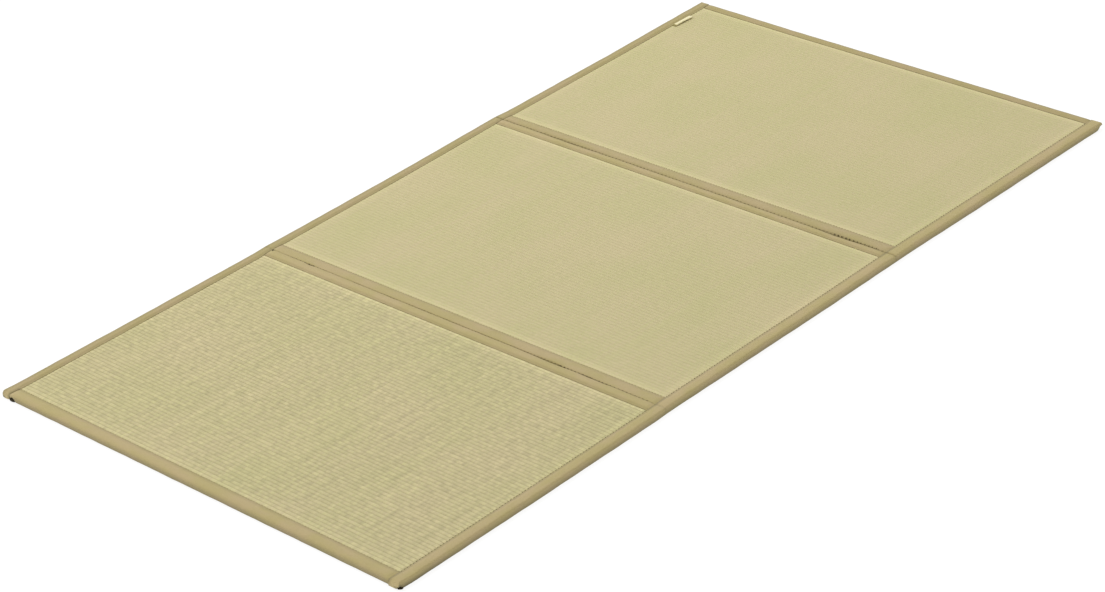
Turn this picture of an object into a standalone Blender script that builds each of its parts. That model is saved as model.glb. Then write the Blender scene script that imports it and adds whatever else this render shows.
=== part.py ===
"""A three-panel folding rush mat with cloth binding, lying open and flat on the floor.

Metres, +Z up. The origin is on the floor under the middle of the mat. +Y runs along the mat's
length, from the front panel to the back one, and +X points to the mat's right side.
"""
import math

import bmesh
import bpy
import numpy as np

# Overall sizes, before the mat's small unevenness is added
MAT_WIDTH = 1.000
MAT_LENGTH = 1.848
HALF_WIDTH = MAT_WIDTH / 2
HALF_LENGTH = MAT_LENGTH / 2
FOLD_1 = -0.3060
FOLD_2 = 0.3105
GAP = 0.0003

# Cloth tape, folded round every edge
TAPE_CLOTH = 0.0010
TAPE_CREST = 0.0140
TAPE_SEAM_HEIGHT = 0.0129
TAPE_LAP_HEIGHT = 0.0137
TAPE_LAP_LENGTH = 0.022
TAPE_FOOT_RADIUS = 0.0030
SHOULDER_DROP = 0.0045
SIDE_SHOULDER = 0.0045
LEFT_FACE = 0.0227
RIGHT_FACE = 0.0252
FRONT_FACE = 0.0240
FOLD_1_FACE = 0.0250
FOLD_2_NEAR_FACE = 0.0215
FOLD_2_FAR_FACE = 0.0250
BACK_FACE = 0.0210

# Points of the tape's section, as shares of its face, its foot's radius or its shoulder
UNDERSIDE_SHARES = (1.0, 0.58, 0.30)
FOOT_SHARES = (1.0, 0.3, 0.0)
SHOULDER_SHARES = (0.0, 0.1, 0.4, 1.0)

# From the crest down to the upper seam: share of the face, share of the fall
SLOPE_SHARES = ((0.30, 0.0), (0.58, 0.08), (0.82, 0.45), (1.0, 1.0))

# Places where a side tape has points: distances from its ends, and places along the mat
NEAR_ENDS = (0.0014, 0.0045, 0.0080, 0.0140, TAPE_LAP_LENGTH)
ALONG_SIDES = (-0.770, -0.480, 0.480, 0.770)
STATION_SPACING = 0.0008
FOLD_DENT_DEPTH = 0.0009
FOLD_DENT_REACH = 0.007
CROSS_STATIONS = 6

# Woven rush panel. Its edge under the tape: distance in from the outer line, low and high side
PANEL_EDGE = (
    (0.0018, 0.0032, 0.0088),
    (0.0040, 0.0014, 0.0121),
    (0.0110, 0.0014, 0.0126),
)

# Its border beyond the tape: distance in from the tape's seam, low and high side
PANEL_BORDER = (
    (0.0003, 0.0014, 0.0116),
    (0.0010, 0.0000, 0.0116),
    (0.0070, 0.0000, 0.0125),
)
RIB_DEPTH = 0.0006
FIELD_CELLS = 4
RIB_ROWS_PER_CELL = 35
TOLERANCE = 0.000001

# Tape across the mat: name, line of its outer edge, direction inwards, width of face, shoulder
CROSS_BINDINGS = (
    ("binding_front_edge", -HALF_LENGTH, 1, FRONT_FACE, 0.0055),
    ("binding_fold_1_near", FOLD_1 - GAP / 2, -1, FOLD_1_FACE, 0.0035),
    ("binding_fold_1_far", FOLD_1 + GAP / 2, 1, FOLD_1_FACE, 0.0035),
    ("binding_fold_2_near", FOLD_2 - GAP / 2, -1, FOLD_2_NEAR_FACE, 0.0055),
    ("binding_fold_2_far", FOLD_2 + GAP / 2, 1, FOLD_2_FAR_FACE, 0.0055),
    ("binding_back_edge", HALF_LENGTH, -1, BACK_FACE, 0.0045),
)

# Tape along the sides: name, side, width of face, its front end, its back end
SIDE_BINDINGS = (
    ("side_binding_left_front", -1, LEFT_FACE, -HALF_LENGTH, FOLD_2 - GAP / 2),
    ("side_binding_right_front", 1, RIGHT_FACE, -HALF_LENGTH, FOLD_2 - GAP / 2),
    ("side_binding_left_back", -1, LEFT_FACE, FOLD_2 + GAP / 2, HALF_LENGTH),
    ("side_binding_right_back", 1, RIGHT_FACE, FOLD_2 + GAP / 2, HALF_LENGTH),
)

# Rush panels: name, front line, back line, tape face in front, tape face at the back
PANELS = (
    ("rush_front", -HALF_LENGTH, FOLD_1, FRONT_FACE, FOLD_1_FACE),
    ("rush_middle", FOLD_1, FOLD_2, FOLD_1_FACE, FOLD_2_NEAR_FACE),
    ("rush_back", FOLD_2, HALF_LENGTH, FOLD_2_FAR_FACE, BACK_FACE),
)

# How the sides wander as the mat lies: distance along the mat, left edge, right edge
SIDE_LINES = (
    (-HALF_LENGTH, -0.4966, 0.5014),
    (-0.6155, -0.4946, 0.5025),
    (-0.3380, -0.4933, 0.5015),
    (FOLD_1, -0.4960, 0.5010),
    (-0.2740, -0.4948, 0.5004),
    (0.0040, -0.4961, 0.5008),
    (0.1430, -0.4983, 0.5001),
    (0.2820, -0.5022, 0.4990),
    (FOLD_2, -0.5027, 0.4986),
    (0.3425, -0.4998, 0.4980),
    (0.6193, -0.5000, 0.5008),
    (HALF_LENGTH, -0.5013, 0.5020),
)

# How the cross seams wander: distance along the mat, drift at the left end, drift at the right
SEAM_DRIFTS = (
    (-HALF_LENGTH, 0.0013, -0.0013),
    (-0.6155, 0.0000, 0.0000),
    (-0.3310, -0.0005, 0.0005),
    (FOLD_1, 0.0000, 0.0000),
    (-0.2810, -0.0015, 0.0015),
    (-0.2500, 0.0000, 0.0000),
    (0.2600, 0.0000, 0.0000),
    (0.2890, 0.0020, 0.0005),
    (FOLD_2, 0.0018, -0.0018),
    (0.3355, 0.0000, 0.0026),
    (0.3650, 0.0000, 0.0000),
    (0.6193, 0.0000, 0.0000),
    (HALF_LENGTH, 0.0013, -0.0004),
)

# How each corner is turned: side, end, reach, roundness, which is below zero on a pointed corner
CORNERS = (
    (-1, -1, 0.016, 0.90),
    (1, -1, 0.008, 0.60),
    (1, 1, 0.012, -0.10),
    (-1, 1, 0.006, 0.60),
)

# Woven label in the left seam of the back panel: distance out from the seam, height of its middle
LABEL_FRONT = 0.8105
LABEL_BACK = 0.8665
LABEL_CLOTH = 0.0010
LABEL_SECTION = (
    (GAP, 0.01235),
    (0.0050, 0.01330),
    (0.0100, 0.01340),
    (0.0150, 0.01345),
)

RUSH_COLOUR = (0.565, 0.515, 0.287)
TAPE_COLOUR = (0.491, 0.407, 0.216)
LABEL_COLOUR = (0.860, 0.800, 0.560)
RUSH_ROUGHNESS = 0.75
TAPE_ROUGHNESS = 0.85
LABEL_ROUGHNESS = 0.70


def soften_corner(x, y):
    """Draw a point near a corner of the mat in towards it, or out where the corner is pointed."""
    for side, end, reach, roundness in CORNERS:
        across = side * x - (HALF_WIDTH - reach)
        along = end * y - (HALF_LENGTH - reach)
        if across > 0 and along > 0:
            squareness = max(across, along) / math.hypot(across, along)
            scale = 1 - roundness * (1 - squareness)
            x += side * across * (scale - 1)
            y += end * along * (scale - 1)
    return x, y


def laid(x, y, z):
    """Move a point of the straight mat to where it lies on the uneven one."""
    x, y = soften_corner(x, y)
    along, left_edge, right_edge = zip(*SIDE_LINES)
    left = np.interp(y, along, left_edge)
    right = np.interp(y, along, right_edge)
    share = (x + HALF_WIDTH) / MAT_WIDTH
    along, left_drift, right_drift = zip(*SEAM_DRIFTS)
    drift = (1 - share) * np.interp(y, along, left_drift) + share * np.interp(y, along, right_drift)
    return left + share * (right - left), y + drift, z


def shaped_grid(columns, rows, place):
    """A grid of points, each of them moved to where place puts its column and row."""
    mesh = bmesh.new()
    bmesh.ops.create_grid(mesh, x_segments=columns - 1, y_segments=rows - 1, size=1.0)
    for vert in mesh.verts:
        column = round((vert.co.x + 1) / 2 * (columns - 1))
        row = round((vert.co.y + 1) / 2 * (rows - 1))
        vert.co = place(column, row)
    return mesh


def cloth_material(name, colour, roughness):
    """A plain woven material of one colour."""
    material = bpy.data.materials.new(name)
    material.use_nodes = True
    shader = material.node_tree.nodes["Principled BSDF"]
    shader.inputs["Base Color"].default_value = (*colour, 1.0)
    shader.inputs["Roughness"].default_value = roughness
    shader.inputs["Metallic"].default_value = 0.0
    return material


def add_piece(mesh, name, colour, roughness, collection, root):
    """Lay the shaped mesh out on the floor and give it an object at its own middle."""
    for vert in mesh.verts:
        vert.co = laid(*vert.co)
    points = np.array([vert.co for vert in mesh.verts])
    middle = (points.min(axis=0) + points.max(axis=0)) / 2
    middle[2] = 0.0
    bmesh.ops.translate(mesh, verts=mesh.verts, vec=-middle)
    data = bpy.data.meshes.new(name)
    mesh.to_mesh(data)
    mesh.free()
    data.materials.append(cloth_material(name, colour, roughness))
    piece = bpy.data.objects.new(name, data)
    piece.location = middle
    piece.parent = root
    collection.objects.link(piece)
    return piece


def thicken(piece, cloth):
    """Give an open sheet its cloth thickness, on its inner side."""
    solid = piece.modifiers.new("cloth", "SOLIDIFY")
    solid.thickness = cloth
    solid.offset = -1.0
    solid.use_even_offset = True


def rounding(distance, reach, drop):
    """How far a rounded edge has dropped, a distance in from its outer line."""
    inwards = max(0.0, 1 - distance / reach)
    return drop * (1 - math.sqrt(1 - inwards**2))


def shoulder_height(distance, shoulder):
    """Height of the tape's upper side, a distance in from its outer line."""
    return TAPE_CREST - rounding(distance, shoulder, SHOULDER_DROP)


def foot_height(distance):
    """Height of the tape's lower side, a distance in from its outer line."""
    return rounding(distance, TAPE_FOOT_RADIUS, TAPE_FOOT_RADIUS)


def tape_section(face, shoulder, seam_height):
    """Outer side of the folded tape, from its lower seam round the edge to its upper seam."""
    fall = TAPE_CREST - seam_height
    underside = [(share * face, 0.0) for share in UNDERSIDE_SHARES]
    foot = [(share * TAPE_FOOT_RADIUS, foot_height(share * TAPE_FOOT_RADIUS)) for share in FOOT_SHARES]
    top = [(share * shoulder, shoulder_height(share * shoulder, shoulder)) for share in SHOULDER_SHARES]
    slope = [(share * face, TAPE_CREST - sunk * fall) for share, sunk in SLOPE_SHARES]
    return underside + foot + top + slope


def fold_dent(along):
    """How far the tape sinks where it passes over the first fold."""
    return FOLD_DENT_DEPTH * max(0.0, 1 - abs(along - FOLD_1) / FOLD_DENT_REACH)


def side_stations(front, back):
    """Places along a side tape where it needs points: its two ends, the fold and the bends."""
    stations = [front + distance for distance in NEAR_ENDS]
    stations += [back - distance for distance in NEAR_ENDS]
    stations += [FOLD_1 - FOLD_DENT_REACH, FOLD_1, FOLD_1 + FOLD_DENT_REACH]
    stations += [row[0] for row in SIDE_LINES]
    stations += ALONG_SIDES
    kept = [front]
    for station in sorted(stations):
        if kept[-1] + STATION_SPACING < station < back - STATION_SPACING:
            kept.append(station)
    return kept + [back]


def build_side_binding(name, side, face, front, back, collection, root):
    """One length of tape along a side, closed at both ends."""
    stations = side_stations(front, back)
    sections = []
    for along in stations:
        to_end = min(along - front, back - along)
        lap = max(0.0, 1 - to_end / TAPE_LAP_LENGTH)
        seam_height = TAPE_SEAM_HEIGHT + lap * (TAPE_LAP_HEIGHT - TAPE_SEAM_HEIGHT)
        top_limit = shoulder_height(to_end, SIDE_SHOULDER) - fold_dent(along)
        floor_limit = foot_height(to_end)
        section = tape_section(face, SIDE_SHOULDER, seam_height)
        sections.append([(inwards, min(max(height, floor_limit), top_limit)) for inwards, height in section])

    def place(column, row):
        inwards, height = sections[row][column]
        return side * (HALF_WIDTH - inwards), stations[row], height

    mesh = shaped_grid(len(sections[0]), len(stations), place)
    for end in (stations[0], stations[-1]):
        rim = [edge for edge in mesh.edges if all(abs(vert.co.y - end) < TOLERANCE for vert in edge.verts)]
        cap = bmesh.ops.contextual_create(mesh, geom=rim)
        bmesh.ops.triangulate(mesh, faces=cap["faces"])
    bmesh.ops.recalc_face_normals(mesh, faces=mesh.faces)
    thicken(add_piece(mesh, name, TAPE_COLOUR, TAPE_ROUGHNESS, collection, root), TAPE_CLOTH)


def build_cross_binding(name, line, inwards_sign, face, shoulder, collection, root):
    """One length of tape across the mat, between the two side tapes."""
    stations = np.linspace(LEFT_FACE + GAP - HALF_WIDTH, HALF_WIDTH - RIGHT_FACE - GAP, CROSS_STATIONS)
    section = tape_section(face, shoulder, TAPE_SEAM_HEIGHT)

    def place(column, row):
        inwards, height = section[column]
        return stations[row], line + inwards_sign * inwards, height

    mesh = shaped_grid(len(section), len(stations), place)
    if inwards_sign > 0:
        bmesh.ops.reverse_faces(mesh, faces=mesh.faces)
    thicken(add_piece(mesh, name, TAPE_COLOUR, TAPE_ROUGHNESS, collection, root), TAPE_CLOTH)


def panel_lines(low, high, low_face, high_face):
    """Distances at which the panel's height changes between two of its outer lines."""
    low_side = [low + row[0] for row in PANEL_EDGE] + [low + low_face + row[0] for row in PANEL_BORDER]
    high_side = [high - row[0] for row in PANEL_EDGE] + [high - high_face - row[0] for row in PANEL_BORDER]
    return low_side, high_side[::-1]


def nearest(lines, value):
    """Index of the line that lies closest to a value."""
    return min(range(len(lines)), key=lambda index: abs(lines[index] - value))


def panel_levels(position, count):
    """Low and high side of the panel at a line counted from its nearest outer line."""
    rows = PANEL_EDGE + PANEL_BORDER
    return rows[min(position, count - 1 - position, len(rows) - 1)][1:]


def panel_slab(lines_x, lines_y):
    """The panel before its ribs: a flat slab that is thinner under the tape all round."""

    def levels(column, row):
        low_x, high_x = panel_levels(column, len(lines_x))
        low_y, high_y = panel_levels(row, len(lines_y))
        return max(low_x, low_y), min(high_x, high_y)

    def place_top(column, row):
        return lines_x[column], lines_y[row], levels(column, row)[1]

    mesh = shaped_grid(len(lines_x), len(lines_y), place_top)
    underside = bmesh.ops.extrude_face_region(mesh, geom=list(mesh.faces))
    for item in underside["geom"]:
        if isinstance(item, bmesh.types.BMVert):
            item.co.z = levels(nearest(lines_x, item.co.x), nearest(lines_y, item.co.y))[0]
    return mesh


def raise_ribs(mesh, left_lines, right_lines, field_front, field_back):
    """Part the rush into rows across the mat, and sink every other row between two ribs."""

    def within(vert, left, right):
        on_top = vert.co.z > PANEL_BORDER[0][2] - TOLERANCE
        across = left - TOLERANCE < vert.co.x < right + TOLERANCE
        along = field_front - TOLERANCE < vert.co.y < field_back + TOLERANCE
        return on_top and across and along

    def runs_lengthwise(edge):
        return abs(edge.verts[0].co.x - edge.verts[1].co.x) < TOLERANCE

    border_left = left_lines[-2]
    border_right = right_lines[1]
    lengthwise = [edge for edge in mesh.edges if runs_lengthwise(edge)
                  and all(within(vert, border_left, border_right) for vert in edge.verts)]
    bmesh.ops.subdivide_edges(mesh, edges=lengthwise, cuts=RIB_ROWS_PER_CELL - 1, use_grid_fill=True)
    half_pitch = (field_back - field_front) / (FIELD_CELLS * RIB_ROWS_PER_CELL)
    for vert in mesh.verts:
        row = round((vert.co.y - field_front) / half_pitch)
        if row % 2 == 0 and within(vert, left_lines[-1], right_lines[0]):
            vert.co.z -= RIB_DEPTH


def build_panel(name, front, back, front_face, back_face, collection, root):
    """One rush panel, ribbed across where the rush shows."""
    left_lines, right_lines = panel_lines(-HALF_WIDTH, HALF_WIDTH, LEFT_FACE, RIGHT_FACE)
    front_lines, back_lines = panel_lines(front, back, front_face, back_face)
    inner_lines = np.linspace(front_lines[-1], back_lines[0], FIELD_CELLS + 1)[1:-1]
    mesh = panel_slab(left_lines + right_lines, front_lines + list(inner_lines) + back_lines)
    raise_ribs(mesh, left_lines, right_lines, front_lines[-1], back_lines[0])
    bmesh.ops.triangulate(mesh, faces=mesh.faces)
    bmesh.ops.recalc_face_normals(mesh, faces=mesh.faces)
    add_piece(mesh, name, RUSH_COLOUR, RUSH_ROUGHNESS, collection, root)


def build_label(collection, root):
    """A small blank woven label whose free edge stands a little off the rush."""
    stations = (LABEL_FRONT, (LABEL_FRONT + LABEL_BACK) / 2, LABEL_BACK)
    seam = -HALF_WIDTH + LEFT_FACE

    def place(column, row):
        out, middle = LABEL_SECTION[column]
        return seam + out, stations[row], middle + LABEL_CLOTH / 2

    mesh = shaped_grid(len(LABEL_SECTION), len(stations), place)
    thicken(add_piece(mesh, "label", LABEL_COLOUR, LABEL_ROUGHNESS, collection, root), LABEL_CLOTH)


def main():
    for item in list(bpy.data.objects):
        bpy.data.objects.remove(item, do_unlink=True)
    collection = bpy.data.collections.new("folding_rush_mat")
    bpy.context.scene.collection.children.link(collection)
    root = bpy.data.objects.new("mat_origin", None)
    collection.objects.link(root)
    for row in PANELS:
        build_panel(*row, collection, root)
    for row in CROSS_BINDINGS:
        build_cross_binding(*row, collection, root)
    for row in SIDE_BINDINGS:
        build_side_binding(*row, collection, root)
    build_label(collection, root)


main()
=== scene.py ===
"""Looks of a three-panel folding rush mat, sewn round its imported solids.

Metres, +Z up, in the frame of the solids: the floor is at 0, +Y runs from the front panel to the
back one, and +X points to the mat's right side.
"""
import math

import bmesh
import bpy
import numpy as np
from bpy.props import FloatProperty, FloatVectorProperty, PointerProperty
from mathutils import Matrix, Vector


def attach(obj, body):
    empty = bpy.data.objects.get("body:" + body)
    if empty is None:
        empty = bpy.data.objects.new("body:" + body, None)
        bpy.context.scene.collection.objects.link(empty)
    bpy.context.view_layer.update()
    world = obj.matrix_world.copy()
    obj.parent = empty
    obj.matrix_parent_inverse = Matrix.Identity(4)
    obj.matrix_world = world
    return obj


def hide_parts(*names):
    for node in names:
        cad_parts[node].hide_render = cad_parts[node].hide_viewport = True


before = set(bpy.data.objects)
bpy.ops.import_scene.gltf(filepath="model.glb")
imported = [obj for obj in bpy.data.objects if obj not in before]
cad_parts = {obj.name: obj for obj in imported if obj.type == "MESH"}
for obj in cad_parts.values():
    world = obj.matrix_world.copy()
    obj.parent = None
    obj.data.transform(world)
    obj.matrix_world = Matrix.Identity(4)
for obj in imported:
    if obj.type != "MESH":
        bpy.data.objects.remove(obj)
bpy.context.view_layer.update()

bl_info = {
    "name": "Folding rush mat",
    "version": (1, 0, 0),
    "blender": (4, 5, 0),
    "location": "View3D > Sidebar > Rush mat",
    "description": "Builds the rush, tape, stitching and label of a folding floor mat",
    "category": "Object",
}

# The mat before its small unevenness is added
HALF_WIDTH = 0.500
HALF_LENGTH = 0.924
FOLD_1 = -0.3060
FOLD_2 = 0.3105
GAP = 0.0003
FLOOR_CLEARANCE = 0.0001
LEFT_FACE = 0.0200
RIGHT_FACE = 0.0237
FRONT_FACE = 0.0239
FOLD_1_NEAR_FACE = 0.0215
FOLD_1_FAR_FACE = 0.0249
FOLD_2_NEAR_FACE = 0.0185
FOLD_2_FAR_FACE = 0.0238
BACK_FACE = 0.0178
CREST = 0.0140

# How the sides wander as the mat lies: distance along the mat, left edge, right edge
SIDE_LINES = (
    (-HALF_LENGTH, -0.4995, 0.5016),
    (-0.9000, -0.4972, 0.5028),
    (-0.6155, -0.4949, 0.5032),
    (-0.3380, -0.4937, 0.5017),
    (FOLD_1, -0.4962, 0.5008),
    (-0.2740, -0.4951, 0.5000),
    (0.0040, -0.4965, 0.5002),
    (0.1430, -0.4991, 0.5001),
    (0.2820, -0.5030, 0.4984),
    (FOLD_2, -0.5035, 0.4983),
    (0.3425, -0.5006, 0.4977),
    (0.6193, -0.5008, 0.5003),
    (0.7300, -0.5018, 0.5001),
    (HALF_LENGTH, -0.5026, 0.5016),
)

# How the cross seams wander: distance along the mat, drift at the left end, drift at the right
SEAM_DRIFTS = (
    (-HALF_LENGTH, 0.0005, -0.0021),
    (-0.6155, 0.0000, 0.0000),
    (-0.3310, -0.0005, 0.0005),
    (FOLD_1, 0.0000, 0.0000),
    (-0.2810, -0.0015, 0.0015),
    (-0.2500, 0.0000, 0.0000),
    (0.2600, 0.0000, 0.0000),
    (0.2890, 0.0020, 0.0005),
    (FOLD_2, 0.0018, -0.0018),
    (0.3355, 0.0000, 0.0026),
    (0.3650, 0.0000, 0.0000),
    (0.6193, 0.0000, 0.0000),
    (HALF_LENGTH, 0.0026, -0.0002),
)

# How each corner is turned: side, end, reach, roundness, which is below zero on a pointed corner
CORNERS = (
    (-1, -1, 0.010, 0.30),
    (1, -1, 0.008, 0.50),
    (1, 1, 0.012, -0.10),
    (-1, 1, 0.006, -0.05),
)

# Rush panels: piece, node, front line, back line, tape face in front, tape face at the back,
# how much painted highlight makes the rush paler beside the seam in front and beside the one at
# the back, and how strongly its weave shows
PANELS = (
    ("rush_panel_front", "rush_front", -HALF_LENGTH, FOLD_1, FRONT_FACE, FOLD_1_NEAR_FACE,
     0.11, 0.20, 1.60),
    ("rush_panel_middle", "rush_middle", FOLD_1, FOLD_2, FOLD_1_FAR_FACE, FOLD_2_NEAR_FACE,
     0.13, 0.18, 0.33),
    ("rush_panel_back", "rush_back", FOLD_2, HALF_LENGTH, FOLD_2_FAR_FACE, BACK_FACE,
     0.14, 0.18, 0.18),
)
# Painted highlight that makes the rush paler beside the left and the right seam, and its reach
LEFT_SEAM_HIGHLIGHT = 0.08
RIGHT_SEAM_HIGHLIGHT = 0.12
SEAM_HIGHLIGHT_REACH = 0.020

# Upper side of a panel: distance out from the tape's seam onto the rush, height
PANEL_TOP = (
    (-0.0210, 0.0088),
    (-0.0170, 0.0098),
    (-0.0090, 0.0106),
    (-0.0040, 0.0109),
    (-0.0015, 0.0106),
    (0.0002, 0.0108),
    (0.0008, 0.0115),
    (0.0018, 0.0120),
    (0.0035, 0.0123),
    (0.0070, 0.0125),
    (0.0110, 0.0125),
)

# Under side of a panel: distance out from the tape's seam onto the rush, height
PANEL_UNDER = (
    (-0.0210, 0.0032),
    (-0.0170, 0.0016),
    (0.0002, 0.0014),
    (0.0010, 0.0001),
)

# Unevenness of a panel: distance between its points across the mat, roundness of a rib, how much
# a rib's height changes along it and from rib to rib, how far the panel swells, and how far the
# ribs run out of line along the mat and from rib to rib, and how far from a seam they are flattened
PANEL_STEP = 0.0125
RIB_ROUNDNESS = 0.55
RIB_CHANGE = 0.00010
RIB_LEVEL_CHANGE = 0.00005
PANEL_SWELL = 0.00025
RIB_BEND = 0.0004
RIB_LEVEL_BEND = 0.00012
SEAM_PINCH = 0.002

# Places in one rib where the rush has points, as shares of the rib
RIB_PHASES = (0.0, 0.10, 0.26, 0.50, 0.74, 0.90)

# Tape across the mat: piece, node, outer line, direction inwards, face, shoulder's width and drop,
# painted shade of its slope, painted shade of its outer edge and that shade's reach, painted shade of
# its cloth
CROSS_TAPES = (
    ("front_edge_tape", "binding_front_edge", -HALF_LENGTH, 1, FRONT_FACE, 0.0080, 0.0060,
     0.11, 0.00, 0.005, 1.00),
    ("fold_1_near_tape", "binding_fold_1_near", FOLD_1 - GAP / 2, -1, FOLD_1_NEAR_FACE, 0.0035, 0.0028,
     0.15, 0.05, 0.006, 1.00),
    ("fold_1_far_tape", "binding_fold_1_far", FOLD_1 + GAP / 2, 1, FOLD_1_FAR_FACE, 0.0045, 0.0028,
     0.09, 0.00, 0.005, 0.97),
    ("fold_2_near_tape", "binding_fold_2_near", FOLD_2 - GAP / 2, -1, FOLD_2_NEAR_FACE, 0.0050, 0.0028,
     0.14, 0.06, 0.006, 1.00),
    ("fold_2_far_tape", "binding_fold_2_far", FOLD_2 + GAP / 2, 1, FOLD_2_FAR_FACE, 0.0090, 0.0040,
     0.05, 0.07, 0.009, 0.94),
    ("back_edge_tape", "binding_back_edge", HALF_LENGTH, -1, BACK_FACE, 0.0060, 0.0055,
     0.04, 0.20, 0.010, 0.90),
)

# Front ends of the side tapes, which lap over the front tape and stand proud of it
LEFT_FRONT = -HALF_LENGTH - 0.0010
RIGHT_FRONT = -HALF_LENGTH - 0.0022

# Tape along the sides: piece, node, side, face, front end, back end, shoulder's width and drop,
# roundness of the front end and of the back end as reach and drop, then painted shades as above
SIDE_TAPES = (
    ("left_tape_front", "side_binding_left_front", -1, LEFT_FACE, LEFT_FRONT, FOLD_2 - GAP / 2,
     0.0030, 0.0025, (0.0110, 0.0080), (0.0040, 0.0028), 0.12, 0.25, 0.012, 0.94),
    ("right_tape_front", "side_binding_right_front", 1, RIGHT_FACE, RIGHT_FRONT, FOLD_2 - GAP / 2,
     0.0040, 0.0036, (0.0100, 0.0075), (0.0040, 0.0028), 0.19, 0.00, 0.004, 1.01),
    ("left_tape_back", "side_binding_left_back", -1, LEFT_FACE, FOLD_2 + GAP / 2, HALF_LENGTH,
     0.0030, 0.0025, (0.0060, 0.0035), (0.0055, 0.0045), 0.12, 0.25, 0.012, 0.94),
    ("right_tape_back", "side_binding_right_back", 1, RIGHT_FACE, FOLD_2 + GAP / 2, HALF_LENGTH,
     0.0040, 0.0036, (0.0060, 0.0035), (0.0040, 0.0040), 0.19, 0.00, 0.004, 1.01),
)

# Where tape crosses the mat, so that a side tape laps over it: front line, back line
CROSSINGS = (
    (-HALF_LENGTH - 0.010, -HALF_LENGTH + FRONT_FACE),
    (FOLD_1 - FOLD_1_NEAR_FACE, FOLD_1 + FOLD_1_FAR_FACE),
    (FOLD_2 - FOLD_2_NEAR_FACE, FOLD_2 + FOLD_2_FAR_FACE),
    (HALF_LENGTH - BACK_FACE, HALF_LENGTH + 0.010),
)

# Upper side of the tape beside its seam: distance in from the seam, height on the rush, height
# where a side tape laps over another tape. The last two are the columns' numbers
TAPE_SLOPE = (
    (0.0105, 0.01400, 0.01420),
    (0.0085, 0.01388, 0.01415),
    (0.0068, 0.01355, 0.01395),
    (0.0052, 0.01305, 0.01365),
    (0.0038, 0.01256, 0.01335),
    (0.0026, 0.01220, 0.01312),
    (0.0015, 0.01196, 0.01292),
    (0.0006, 0.01180, 0.01275),
    (0.0000, 0.01155, 0.01245),
    (-0.0001, 0.01110, 0.01195),
)
ON_RUSH = 1
ON_TAPE = 2

# Points round the tape's foot and round its shoulder, in degrees, and the foot's radius
FOOT_ANGLES = (90, 60, 35, 12, 0)
SHOULDER_ANGLES = (0, 12, 26, 40, 55, 72, 90)
FOOT_RADIUS = 0.0018

# Lap of a side tape: length of its slope, the level down to which it presses the tape beneath,
# what share of the way, and how far beyond its own seam
LAP_RUN = 0.004
LAP_DIP_LEVEL = 0.0118
LAP_DIP_SHARE = 0.85
LAP_DIP_REACH = 0.008

# End of a cross tape under a side tape: its length, and how far it draws in
TUCK = 0.005
TUCK_INSET = 0.0012

# Distance between the points along a tape, and their places near the end of a side tape
TAPE_STEP = 0.0035
SIDE_END_STEPS = (0.0, 0.0003, 0.0010, 0.0019, 0.0030, 0.0045, 0.0065, 0.0090)

# Dent of a side tape where it crosses the first fold
FOLD_DENT_DEPTH = 0.0009
FOLD_DENT_REACH = 0.0075

# Small unevenness of the tape: how far its outer line and its seam wander, how high it puckers
# beside the seam and how far from it, and how far its upper side rises and sinks
CROSS_EDGE_WANDER = 0.00035
SIDE_EDGE_WANDER = 0.00040
SEAM_WANDER = 0.00022
PUCKER = 0.00016
PUCKER_REACH = 0.004
CROWN = 0.00028

# Painted shades of the tape as shares of light lost, each with its place and its reach
SEAM_SHADE = 0.28
SEAM_SHADE_REACH = 0.0012
SLOPE_SHADE_PLACE = 0.0034
SLOPE_SHADE_REACH = 0.0046
FOOT_SHADE = 0.50
FOOT_SHADE_INSET = 0.006
FOOT_SHADE_BOTTOM = 0.003
FOOT_SHADE_RISE = 0.0115
CROSS_END_SHADE = 0.25
CROSS_END_SHADE_REACH = 0.0022
FOLD_SHADE = 0.14
FOLD_1_SHADE_REACH = 0.0040
FOLD_2_SHADE_REACH = 0.0050
LAP_SHADE_PLACE = 0.0010
LAP_SHADE_REACH = 0.0034
CORNER_SHADE = 0.50
CORNER_SHADE_REACH = 0.20
CORNER_SHADE_INSET = 0.002
CORNER_SHADE_HEIGHT = 0.005

# Painted shade beside a lap: on each side, laps in front of a limit get the deep shade and the others a
# light one
DEEP_LAP_SHADE = 0.30
LIGHT_LAP_SHADE = 0.06
DEEP_LAP_LIMIT = {-1: -0.85, 1: FOLD_2 + 0.1}

# Where the tape's lower edge is lifted: middle, reach across, reach along, height
LIFTS = (
    (-0.4725, -0.9240, 0.0105, 0.0085, 0.0086),
    (0.5000, -0.9240, 0.0080, 0.0080, 0.0056),
    (0.5000, 0.9240, 0.0150, 0.0150, 0.0080),
)

# How far a fold's edge sinks where it stands open, as a share of the gap
OPEN_CREASE_DROP = 1.6

# Places where a fold stands open: fold line, place across the mat, reach along it, width of gap
OPEN_CREASES = (
    (FOLD_1, -0.375, 0.020, 0.0006),
    (FOLD_1, 0.230, 0.060, 0.0007),
    (FOLD_1, 0.345, 0.050, 0.0003),
    (FOLD_2, -0.300, 0.120, 0.0005),
    (FOLD_2, 0.370, 0.070, 0.0009),
)

# How deep a fold's groove is across the mat: fold line, then places across and the share of its
# full depth at each
FOLD_DEPTHS = (
    (FOLD_1, (-0.480, -0.250, -0.100, 0.310, 0.345, 0.480), (0.45, 0.60, 1.00, 1.00, 0.55, 0.55)),
    (FOLD_2, (-0.480, 0.100, 0.350, 0.480), (1.00, 0.85, 1.00, 1.00)),
)

# Knots of the joining thread, dark and thick, partly painted shade of the crease: fold line, distance
# behind it, first place, last place, spacing, length
KNOTS = (
    (FOLD_1, 0.0004, 0.2570, 0.3310, 0.0088, 0.0054),
    (FOLD_1, 0.0006, 0.3470, 0.4660, 0.0092, 0.0036),
    (FOLD_1, 0.0004, -0.4250, -0.3450, 0.0115, 0.0036),
    (FOLD_2, 0.0022, 0.3570, 0.4560, 0.0088, 0.0034),
)
KNOT_THICKNESS = 0.0021
KNOT_HEIGHT = 0.0130

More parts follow.
